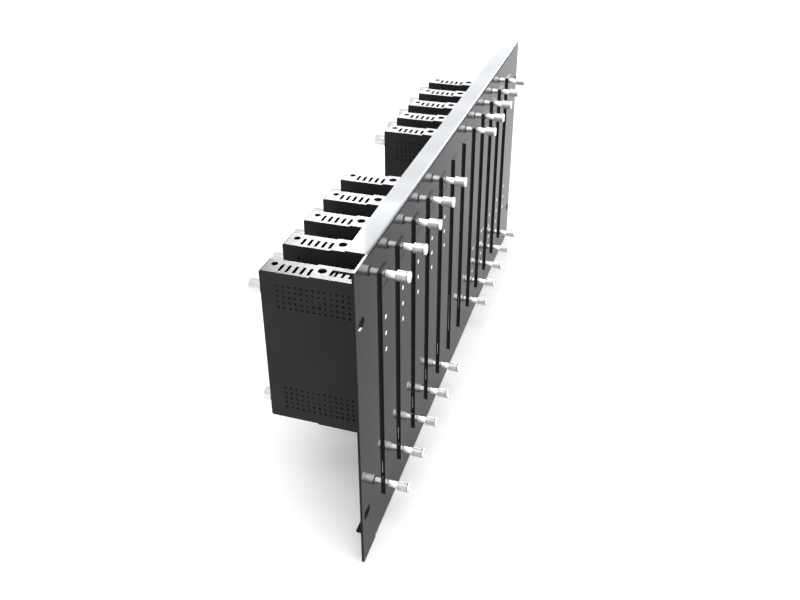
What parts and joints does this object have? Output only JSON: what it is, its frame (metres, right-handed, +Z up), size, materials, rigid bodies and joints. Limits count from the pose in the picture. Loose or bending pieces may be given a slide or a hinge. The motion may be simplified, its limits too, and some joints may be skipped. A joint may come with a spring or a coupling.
{
  "type": "rack panel with plug-in modules",
  "caption": "Flat rack panel with folded top and bottom lips and upright bay cut-outs, carrying slim vented metal modules held by paired thumbscrews; empty bays are blanked.",
  "frame": {"origin": "centre of the four rack slots, on the panel's rear face, which is the face that meets the rack rails", "axes": "+X to the right seen from the front, +Y to the rear, away from the user, +Z up"},
  "size_m": [0.4826, 0.1067, 0.2214],
  "materials": {
    "panel_black": "smooth semi-gloss black paint",
    "plate_black": "smooth semi-gloss black paint",
    "case_black": "fine satin black powder coat",
    "satin_metal": "satin turned, clear anodised",
    "socket_metal": "satin nickel plate",
    "plated_steel": "zinc plate",
    "clear_plastic": "clear, end faces frosted",
    "board_green": "green solder mask"
  },
  "bodies": {
    "root": {"front_panel": "panel_black", "clinch_nuts": "plated_steel", "thumbscrews": "satin_metal", "bay06_blank_plate": "plate_black", "bay07_blank_plate": "plate_black", "blank_plate_nuts": "plated_steel", "light_pipes": "clear_plastic", "bracket_nuts": "plated_steel", "board_screws": "plated_steel", "coax_sockets": "socket_metal", "bay01_faceplate": "plate_black", "bay01_bracket": "case_black", "bay01_case": "case_black", "bay01_cover": "case_black", "bay01_board": "board_green", "bay02_faceplate": "plate_black", "bay02_bracket": "case_black", "bay02_case": "case_black", "bay02_cover": "case_black", "bay02_board": "board_green", "bay03_faceplate": "plate_black", "bay03_bracket": "case_black", "bay03_case": "case_black", "bay03_cover": "case_black", "bay03_board": "board_green", "bay04_faceplate": "plate_black", "bay04_bracket": "case_black", "bay04_case": "case_black", "bay04_cover": "case_black", "bay04_board": "board_green", "bay05_faceplate": "plate_black", "bay05_bracket": "case_black", "bay05_case": "case_black", "bay05_cover": "case_black", "bay05_board": "board_green", "bay08_faceplate": "plate_black", "bay08_bracket": "case_black", "bay08_case": "case_black", "bay08_cover": "case_black", "bay08_board": "board_green", "bay09_faceplate": "plate_black", "bay09_bracket": "case_black", "bay09_case": "case_black", "bay09_cover": "case_black", "bay09_board": "board_green", "bay10_faceplate": "plate_black", "bay10_bracket": "case_black", "bay10_case": "case_black", "bay10_cover": "case_black", "bay10_board": "board_green", "bay11_faceplate": "plate_black", "bay11_bracket": "case_black", "bay11_case": "case_black", "bay11_cover": "case_black", "bay11_board": "board_green", "bay12_faceplate": "plate_black", "bay12_bracket": "case_black", "bay12_case": "case_black", "bay12_cover": "case_black", "bay12_board": "board_green"}
  },
  "joints": []
}
